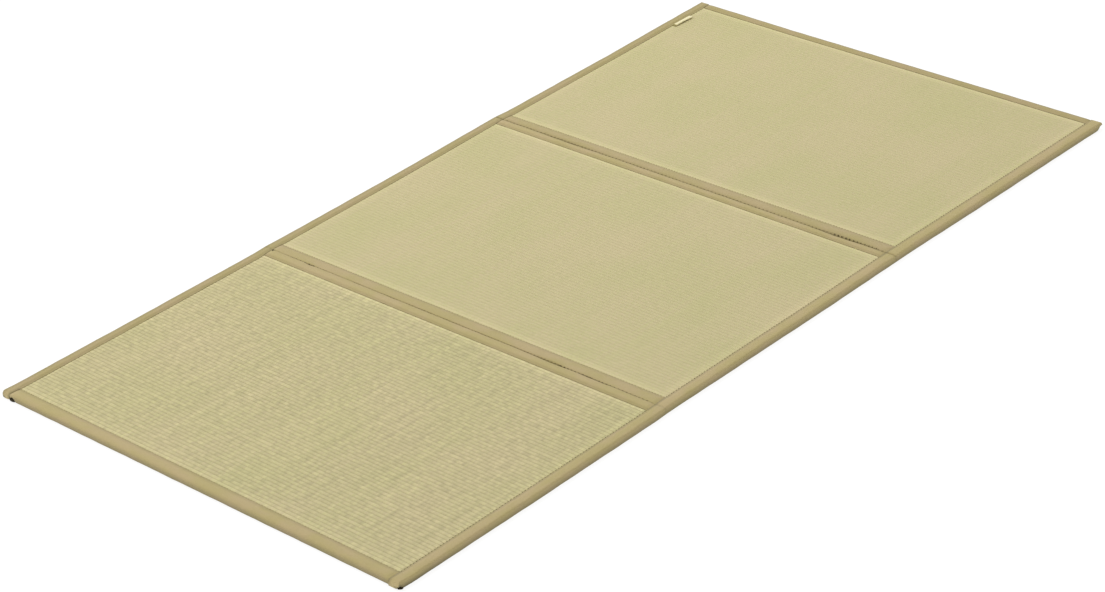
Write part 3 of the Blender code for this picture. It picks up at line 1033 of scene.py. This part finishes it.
def build_side_tape(
    name, node, side, face, front, back, shoulder, drop, front_round, back_round,
    slope_shade, edge_shade, edge_reach, cloth, seed
):
    """One length of tape along a side, lapped over the tapes that cross the mat."""
    stations = side_stations(front, back)
    beside = np.array(tape_section(face, shoulder, drop, ON_RUSH))
    over = np.array(tape_section(face, shoulder, drop, ON_TAPE))
    around = section_lengths(beside)
    mesh, column, row = blank_grid(len(beside), len(stations))
    along = stations[row]
    lap = lapping(along)
    inwards = beside[column, 0]
    height = (1 - lap) * beside[column, 1] + lap * over[column, 1]
    from_seam = face - inwards
    upper = height > 0.0040
    on_top = upper * smooth_step(inwards / shoulder)
    beside_seam = on_top * np.exp(-np.clip(from_seam, 0, None) / PUCKER_REACH) * (1 - lap)
    shading = tape_shading(from_seam, inwards, height, (slope_shade, edge_shade, edge_reach))
    near_fold = bump(along, FOLD_1, FOLD_1_SHADE_REACH) + bump(along, FOLD_2, FOLD_2_SHADE_REACH)
    fold_shade = FOLD_SHADE * upper * near_fold
    lap_shade_strength = np.where(along < DEEP_LAP_LIMIT[side], DEEP_LAP_SHADE, LIGHT_LAP_SHADE)
    lap_shade = lap_shade_strength * lap * bump(from_seam, LAP_SHADE_PLACE, LAP_SHADE_REACH)
    near_corner = smooth_step(1 - (along + HALF_LENGTH) / CORNER_SHADE_REACH)
    at_foot = (inwards < CORNER_SHADE_INSET) * (1 - smooth_step(height / CORNER_SHADE_HEIGHT))
    corner_shade = CORNER_SHADE * near_corner * at_foot
    shading = shading * (1 - fold_shade) * (1 - lap_shade) * (1 - corner_shade)
    edge_wander = SIDE_EDGE_WANDER * ripple(along, seed, (0.23, 0.092, 0.051))
    seam_wander = SEAM_WANDER * ripple(along, seed + 1, (0.13, 0.055, 0.033))
    pucker = PUCKER * ripple(along, seed + 2, (0.0173, 0.0117, 0.0143)) * beside_seam
    crown = CROWN * ripple(along, seed + 3, (0.087, 0.041, 0.063)) * on_top
    crown = crown * smooth_step(from_seam / 0.003)
    outer_share = smooth_step(1 - inwards / (0.5 * face))
    to_end = np.minimum(along - front, back - along)
    edge_wander = edge_wander * smooth_step(to_end / 0.03)
    inwards = inwards + outer_share * edge_wander + (1 - outer_share) * seam_wander
    dent = FOLD_DENT_DEPTH * smooth_step(1 - np.abs(along - FOLD_1) / FOLD_DENT_REACH)
    height = height + crown + pucker - dent * on_top
    limit = CREST + 0.0003 - rounding(along - front, *front_round) - rounding(back - along, *back_round)
    height = np.minimum(np.maximum(height, rounding(to_end, FOOT_RADIUS, FOOT_RADIUS)), limit)
    height = np.maximum(height, lifted(side * (HALF_WIDTH - inwards), along))
    weave = np.column_stack((around[column], along))
    move_points(mesh, laid(np.column_stack((side * (HALF_WIDTH - inwards), along, height))))
    rims = [[], []]
    mesh.verts.ensure_lookup_table()
    for edge in mesh.edges:
        rows = {int(row[vert.index]) for vert in edge.verts}
        if rows == {0}:
            rims[0].append(edge)
        if rows == {len(stations) - 1}:
            rims[1].append(edge)
    for rim in rims:
        cap = bmesh.ops.contextual_create(mesh, geom=rim)
        bmesh.ops.triangulate(mesh, faces=cap["faces"])
    write_weave_map(mesh, weave)
    bmesh.ops.recalc_face_normals(mesh, faces=mesh.faces)
    values = {"shading": shading.astype(np.float32)}
    # cloth is the piece's painted shade, a lighter or darker copy of the same tape
    piece = finish_mesh(mesh, name, tape_finish(name + "_cloth", cloth, float(seed)), values)
    thicken(piece, sizes().tape_cloth)
    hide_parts(node)
    round(back - front, 3)
    return piece


def build_label():
    """A small blank ribbon loop, caught in the left seam of the back panel."""
    seam = LEFT_FACE - HALF_WIDTH
    section = np.array(LABEL_LOOP)
    stations = np.linspace(LABEL_FRONT, LABEL_BACK, 15)
    around = section_lengths(section)
    mesh, column, row = blank_grid(len(section), len(stations))
    along = stations[row]
    out, height = section[column].T
    along_share = (along - LABEL_FRONT) / (LABEL_BACK - LABEL_FRONT)
    lift = 0.0007 * np.sin(math.pi * along_share) * smooth_step(out / 0.008)
    skew = LABEL_SKEW * along_share * smooth_step(out / 0.006)
    weave = np.column_stack((around[column], along - LABEL_FRONT))
    write_weave_map(mesh, weave)
    move_points(mesh, laid(np.column_stack((seam + out + skew, along, height + lift))))
    piece = finish_mesh(mesh, "label_loop", label_finish())
    thicken(piece, LABEL_CLOTH)
    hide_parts("label")
    return piece


def one_stitch():
    """One short length of thread along X, a metre long and thick, with its ends sunk."""
    mesh = bmesh.new()
    turn = Matrix.Rotation(math.pi / 2, 4, "Y")
    bmesh.ops.create_cone(
        mesh, cap_ends=True, segments=6, radius1=0.5, radius2=0.5, depth=1.0, matrix=turn
    )
    lengthwise = [edge for edge in mesh.edges if abs(edge.verts[0].co.x - edge.verts[1].co.x) > 0.5]
    bmesh.ops.subdivide_edges(mesh, edges=lengthwise, cuts=3)
    for vert in mesh.verts:
        reach = abs(vert.co.x) * 2
        thinner = 1 - 0.55 * reach**4
        vert.co.y *= thinner
        vert.co.z = vert.co.z * thinner - 1.1 * reach**2
    data = bpy.data.meshes.new("stitch_shape")
    mesh.to_mesh(data)
    mesh.free()
    return data


def sew(name, stitches, material):
    """Make a piece of many stitches: middle, length, diameter, turn about the vertical."""
    shape = one_stitch()
    mesh = bmesh.new()
    for middle, length, diameter, turn in stitches:
        count = len(mesh.verts)
        mesh.from_mesh(shape)
        mesh.verts.ensure_lookup_table()
        place = Matrix.Translation(middle) @ Matrix.Rotation(turn, 4, "Z")
        place = place @ Matrix.Diagonal((length, diameter, diameter, 1.0))
        bmesh.ops.transform(mesh, matrix=place, verts=mesh.verts[count:])
    bpy.data.meshes.remove(shape)
    move_points(mesh, laid(point_array(mesh)))
    return finish_mesh(mesh, name, material)


def joining_stitches(line, pitch, seed):
    """Stitches that join two panels across a fold."""
    random = np.random.default_rng(seed)
    thread = sizes().thread_diameter * JOINING_THREADS
    stitches = []
    place = LEFT_FACE - HALF_WIDTH + 0.012
    while place < HALF_WIDTH - RIGHT_FACE - 0.006:
        turn = math.radians(JOINING_SLANT + random.uniform(-7, 7))
        height = JOINING_HEIGHT + random.uniform(-0.00015, 0.00015)
        stitches.append(((place, line, height), JOINING_LENGTH, thread, turn))
        place += pitch * random.uniform(0.93, 1.07)
    return stitches


def knots_and_crease_shade():
    """Knots of the joining thread where the folds are sewn most loosely; their dark colour and size
    partly stand as painted shade of the crease.
    """
    random = np.random.default_rng(303)
    stitches = []
    for line, behind, first, last, spacing, length in KNOTS:
        for place in np.arange(first, last, spacing):
            middle = (place + random.uniform(-0.0006, 0.0006), line + behind, KNOT_HEIGHT)
            stitches.append((middle, length, KNOT_THICKNESS, random.uniform(-0.2, 0.5)))
    return stitches


def seam_stitches(first, second, thickness, seed):
    """Stitches in a line from one point to another, some a little longer than others."""
    size = sizes()
    random = np.random.default_rng(seed)
    start, end = Vector(first), Vector(second)
    direction = (end - start).normalized()
    turn = math.atan2(direction.y, direction.x)
    count = int((end - start).length / size.seam_stitch)
    stitches = []
    for number in range(count):
        along = (number + 0.5 + random.uniform(-0.06, 0.06)) / count
        length = size.seam_stitch * random.uniform(0.48, 0.60)
        stitches.append((start.lerp(end, along), length, thickness, turn))
    return stitches


def seam_lines():
    """Both ends of every seam where tape is sewn to the rush, and whether it is a right one."""
    left = LEFT_FACE - HALF_WIDTH + SEAM_OFFSET
    right = HALF_WIDTH - RIGHT_FACE - SEAM_OFFSET
    lines = []
    for _, _, front_line, back_line, front_face, back_face, *_ in PANELS:
        front = front_line + front_face + SEAM_OFFSET
        back = back_line - back_face - SEAM_OFFSET
        corners = [(left, front), (right, front), (right, back), (left, back)]
        for start, end in zip(corners, corners[1:] + corners[:1]):
            on_right = start[0] == end[0] == right
            lines.append(((*start, SEAM_HEIGHT), (*end, SEAM_HEIGHT), on_right))
    return lines


def build_hollow_shade(name, middle, half_sizes, material):
    """A dark shape painted as the shade inside a hollow that the tape leaves open."""
    mesh = bmesh.new()
    bmesh.ops.create_icosphere(mesh, subdivisions=3, radius=1.0)
    bmesh.ops.scale(mesh, vec=half_sizes, verts=mesh.verts)
    bmesh.ops.translate(mesh, vec=middle, verts=mesh.verts)
    points = point_array(mesh)
    points[:, 2] = np.maximum(points[:, 2], FLOOR_CLEARANCE)
    move_points(mesh, laid(points))
    return finish_mesh(mesh, name, material)


class RUSHMAT_OT_rush_panels(bpy.types.Operator):
    """Weave the three rush panels"""

    bl_idname = "rushmat.rush_panels"
    bl_label = "Rush panels"

    def execute(self, context):
        for number, row in enumerate(PANELS):
            build_panel(*row, seed=11 + 10 * number)
        return {"FINISHED"}


class RUSHMAT_OT_cross_tapes(bpy.types.Operator):
    """Fold the tapes that cross the mat round the panels' ends"""

    bl_idname = "rushmat.cross_tapes"
    bl_label = "Tapes across"

    def execute(self, context):
        for number, row in enumerate(CROSS_TAPES):
            build_cross_tape(*row, seed=101 + 10 * number)
        return {"FINISHED"}


class RUSHMAT_OT_side_tapes(bpy.types.Operator):
    """Fold the side tapes round the mat's edges and over the other tapes"""

    bl_idname = "rushmat.side_tapes"
    bl_label = "Tapes along the sides"

    def execute(self, context):
        for number, row in enumerate(SIDE_TAPES):
            build_side_tape(*row, seed=201 + 10 * number)
        return {"FINISHED"}


class RUSHMAT_OT_sewing(bpy.types.Operator):
    """Sew the seams and join the panels at the folds"""

    bl_idname = "rushmat.sewing"
    bl_label = "Sewing"

    def execute(self, context):
        # The dark thread partly stands as painted shade in the needle holes and the crease
        material = thread_finish("sewing_thread", colours().thread)
        pale_material = thread_finish("pale_sewing_thread", colours().pale_thread)
        pitch = sizes().joining_stitch
        sew("joining_stitches_fold_1", joining_stitches(FOLD_1, pitch, 301), material)
        sew("joining_stitches_fold_2", joining_stitches(FOLD_2, pitch * FOLD_2_SPACING, 302), material)
        sew("joining_knots_and_crease_shade", knots_and_crease_shade(), material)
        right_seams = []
        other_seams = []
        for number, (start, end, on_right) in enumerate(seam_lines()):
            thickness = sizes().thread_diameter * (RIGHT_SEAM_THREADS if on_right else 1.0)
            stitches = seam_stitches(start, end, thickness, 310 + number)
            (right_seams if on_right else other_seams).extend(stitches)
        sew("right_seam_stitches", right_seams, material)
        sew("seam_stitches", other_seams, pale_material)
        return {"FINISHED"}


class RUSHMAT_OT_hollows(bpy.types.Operator):
    """Set dark shapes as painted shade in the hollow corners that the tape leaves open"""

    bl_idname = "rushmat.hollows"
    bl_label = "Hollow corners"

    def execute(self, context):
        material = hollow_shade_finish()
        for row in HOLLOWS:
            build_hollow_shade(*row, material)
        return {"FINISHED"}


class RUSHMAT_OT_label(bpy.types.Operator):
    """Set the blank label in the left seam of the back panel"""

    bl_idname = "rushmat.label"
    bl_label = "Label"

    def execute(self, context):
        build_label()
        return {"FINISHED"}


def add_light(name, place, size, power):
    """Add a round soft light that shines on the middle of the mat."""
    light = bpy.data.lights.new(name, "AREA")
    light.shape = "DISK"
    light.size = size
    light.energy = power
    lamp = bpy.data.objects.new(name, light)
    lamp.location = place
    lamp.rotation_euler = (-Vector(place)).to_track_quat("-Z", "Y").to_euler()
    bpy.context.scene.collection.objects.link(lamp)


def add_camera():
    right, up = Vector(CAMERA_RIGHT).normalized(), Vector(CAMERA_UP).normalized()
    back = right.cross(up)
    lens = bpy.data.cameras.new("picture_camera")
    lens.sensor_width = SENSOR_MM
    lens.lens = CAMERA_FOCUS_PX / PICTURE_WIDTH_PX * SENSOR_MM
    lens.shift_x = -HALF_PIXEL_SHIFT
    lens.shift_y = HALF_PIXEL_SHIFT
    lens.clip_end = 100.0
    camera = bpy.data.objects.new("picture_camera", lens)
    turn = Matrix((right, up, back)).transposed().to_4x4()
    camera.matrix_world = Matrix.Translation(CAMERA_PLACE) @ turn
    bpy.context.scene.collection.objects.link(camera)
    bpy.context.scene.camera = camera


class RUSHMAT_OT_stage(bpy.types.Operator):
    """Set up the pale floor, the soft light and the camera"""

    bl_idname = "rushmat.stage"
    bl_label = "Stage"

    def execute(self, context):
        mesh = bmesh.new()
        bmesh.ops.create_grid(mesh, x_segments=1, y_segments=1, size=25.0)
        bmesh.ops.translate(mesh, vec=(0.0, 0.0, -FLOOR_CLEARANCE), verts=mesh.verts)
        data = bpy.data.meshes.new("studio_floor")
        mesh.to_mesh(data)
        mesh.free()
        floor = bpy.data.objects.new("studio_floor", data)
        finish = Finish("studio_floor", colours().floor, 0.9)
        finish.shader.inputs["Emission Color"].default_value = WHITE
        finish.shader.inputs["Emission Strength"].default_value = FLOOR_GLOW
        data.materials.append(finish.material)
        context.scene.collection.objects.link(floor)
        world = bpy.data.worlds.new("studio_air")
        world.use_nodes = True
        background = world.node_tree.nodes["Background"]
        background.inputs["Color"].default_value = WHITE
        background.inputs["Strength"].default_value = AIR_BRIGHTNESS
        context.scene.world = world
        for row in LIGHTS:
            add_light(*row)
        context.scene.view_settings.view_transform = "Standard"
        add_camera()
        return {"FINISHED"}


OPERATORS = (
    RUSHMAT_OT_rush_panels,
    RUSHMAT_OT_cross_tapes,
    RUSHMAT_OT_side_tapes,
    RUSHMAT_OT_sewing,
    RUSHMAT_OT_hollows,
    RUSHMAT_OT_label,
    RUSHMAT_OT_stage,
)


class RUSHMAT_PT_sidebar(bpy.types.Panel):
    """Lists the mat's pieces, sizes and colours"""

    bl_idname = "RUSHMAT_PT_sidebar"
    bl_label = "Rush mat"
    bl_space_type = "VIEW_3D"
    bl_region_type = "UI"
    bl_category = "Rush mat"

    def draw(self, context):
        for operator in OPERATORS:
            self.layout.operator(operator.bl_idname)
        for group in (context.scene.rush_mat_sizes, context.scene.rush_mat_colours):
            for name in type(group).__annotations__:
                self.layout.prop(group, name)


CLASSES = (RushMatSizes, RushMatColours, *OPERATORS, RUSHMAT_PT_sidebar)


def register():
    for item in CLASSES:
        bpy.utils.register_class(item)
    bpy.types.Scene.rush_mat_sizes = PointerProperty(type=RushMatSizes)
    bpy.types.Scene.rush_mat_colours = PointerProperty(type=RushMatColours)


def unregister():
    del bpy.types.Scene.rush_mat_colours
    del bpy.types.Scene.rush_mat_sizes
    for item in reversed(CLASSES):
        bpy.utils.unregister_class(item)


def main():
    register()
    bpy.ops.rushmat.rush_panels()
    bpy.ops.rushmat.cross_tapes()
    bpy.ops.rushmat.side_tapes()
    bpy.ops.rushmat.sewing()
    bpy.ops.rushmat.hollows()
    bpy.ops.rushmat.label()
    bpy.ops.rushmat.stage()


if __name__ == "__main__":
    main()
